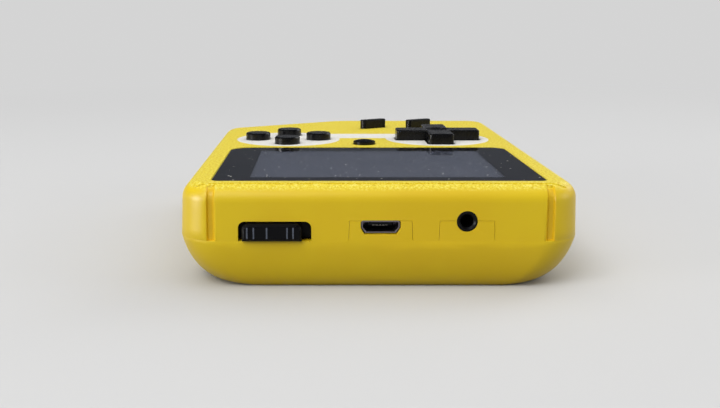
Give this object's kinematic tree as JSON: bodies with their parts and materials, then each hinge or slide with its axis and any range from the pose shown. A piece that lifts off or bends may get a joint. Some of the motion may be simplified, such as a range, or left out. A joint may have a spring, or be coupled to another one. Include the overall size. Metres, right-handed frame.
{
  "type": "handheld game console",
  "caption": "Portrait handheld game console lying on its back: screen under a dark lens, cross pad, round buttons, slide switch and sockets in the end face, battery cover in the back.",
  "frame": {"origin": "middle of the case in plan, on the flat back that it rests on", "axes": "+Z out of the screen face, -Y towards the socket end, +X towards the cross pad"},
  "size_m": [0.08, 0.1163, 0.0236],
  "materials": {
    "yellow_shell": "satin moulded ABS, finely sparked on the face",
    "black_gloss": "polished black ABS",
    "black_matt": "dull black plastic",
    "lens": "hard-coated dark acrylic",
    "lcd_glass": "LCD glass",
    "white_plastic": "white moulded tray",
    "foam": "black foam tape",
    "flex": "amber flexible circuit",
    "connector_plastic": "ivory connector housing",
    "board": "green solder mask on glass fibre",
    "chip_black": "moulded chip package",
    "can_metal": "bright drawn can",
    "small_parts": "small soldered parts",
    "silicone": "grey silicone",
    "steel": "plated steel",
    "phenolic": "brown phenolic",
    "brass": "gold-flashed contact",
    "magnet": "dark ferrite",
    "cone_film": "thin film cone",
    "battery_wrap": "dark blue wrapped cell"
  },
  "bodies": {
    "case": {"front_shell": "yellow_shell", "back_shell": "yellow_shell", "screen_lens": "lens", "lcd_gasket": "foam", "lcd_glass": "lcd_glass", "lcd_backlight": "white_plastic", "lcd_ribbon": "flex", "ribbon_connector": "connector_plastic", "main_board": "board", "game_chip": "chip_black", "memory_chip": "chip_black", "charge_chip": "chip_black", "crystal": "can_metal", "small_parts": "small_parts", "action_mat": "silicone", "menu_mat": "silicone", "reset_mat": "silicone", "power_switch": "steel", "power_switch_base": "phenolic", "usb_shell": "steel", "usb_tongue": "black_matt", "usb_contacts": "brass", "av_jack": "black_matt", "jack_contact": "steel", "speaker_frame": "steel", "speaker_magnet": "magnet", "speaker_cone": "cone_film", "battery": "battery_wrap", "battery_contacts": "brass", "case_screws": "steel", "board_screws": "steel"},
    "button_right_body": {"button_right": "black_gloss"},
    "button_lower_body": {"button_lower": "black_gloss"},
    "button_left_body": {"button_left": "black_gloss"},
    "button_upper_body": {"button_upper": "black_gloss"},
    "select_body": {"select_button": "black_gloss"},
    "start_body": {"start_button": "black_gloss"},
    "reset_body": {"reset_button": "black_gloss"},
    "pad_rocker": {"pad_mat": "silicone"},
    "pad_body": {"cross_pad": "black_gloss"},
    "power_slider": {"power_knob": "black_gloss", "switch_lever": "black_matt"},
    "cover_body": {"battery_cover": "yellow_shell"}
  },
  "joints": [
    {"name": "button_right_press", "type": "slide", "parent": "case", "child": "button_right_body", "axis": [0, 0, -1], "range_m": [0, 0.0008], "stiffness_N_per_m": 900, "springref_m": -0.0002, "deforming": ["action_mat"]},
    {"name": "button_lower_press", "type": "slide", "parent": "case", "child": "button_lower_body", "axis": [0, 0, -1], "range_m": [0, 0.0008], "stiffness_N_per_m": 900, "springref_m": -0.0002},
    {"name": "button_left_press", "type": "slide", "parent": "case", "child": "button_left_body", "axis": [0, 0, -1], "range_m": [0, 0.0008], "stiffness_N_per_m": 900, "springref_m": -0.0002},
    {"name": "button_upper_press", "type": "slide", "parent": "case", "child": "button_upper_body", "axis": [0, 0, -1], "range_m": [0, 0.0008], "stiffness_N_per_m": 900, "springref_m": -0.0002},
    {"name": "select_press", "type": "slide", "parent": "case", "child": "select_body", "axis": [0, 0, -1], "range_m": [0, 0.0008], "stiffness_N_per_m": 900, "springref_m": -0.0002, "deforming": ["menu_mat"]},
    {"name": "start_press", "type": "slide", "parent": "case", "child": "start_body", "axis": [0, 0, -1], "range_m": [0, 0.0008], "stiffness_N_per_m": 900, "springref_m": -0.0002},
    {"name": "reset_press", "type": "slide", "parent": "case", "child": "reset_body", "axis": [0, 0, -1], "range_m": [0, 0.0008], "stiffness_N_per_m": 900, "springref_m": -0.0002, "deforming": ["reset_mat"]},
    {"name": "pad_rock_x", "type": "hinge", "parent": "case", "child": "pad_rocker", "pos_m": [0.0192, 0.0118, 0.0169], "axis": [1, 0, 0], "range_deg": [-4, 4], "stiffness_Nm_per_rad": 0.6, "deforming": ["pad_mat"]},
    {"name": "pad_rock_y", "type": "hinge", "parent": "pad_rocker", "child": "pad_body", "pos_m": [0.0192, 0.0118, 0.0169], "axis": [0, 1, 0], "range_deg": [-4, 4], "stiffness_Nm_per_rad": 0.6},
    {"name": "power_slide", "type": "slide", "parent": "case", "child": "power_slider", "axis": [1, 0, 0], "range_m": [0, 0.0015]},
    {"name": "cover_swing", "type": "hinge", "parent": "case", "child": "cover_body", "pos_m": [0, -0.005, 0], "axis": [-1, 0, 0], "range_deg": [0, 40]}
  ]
}
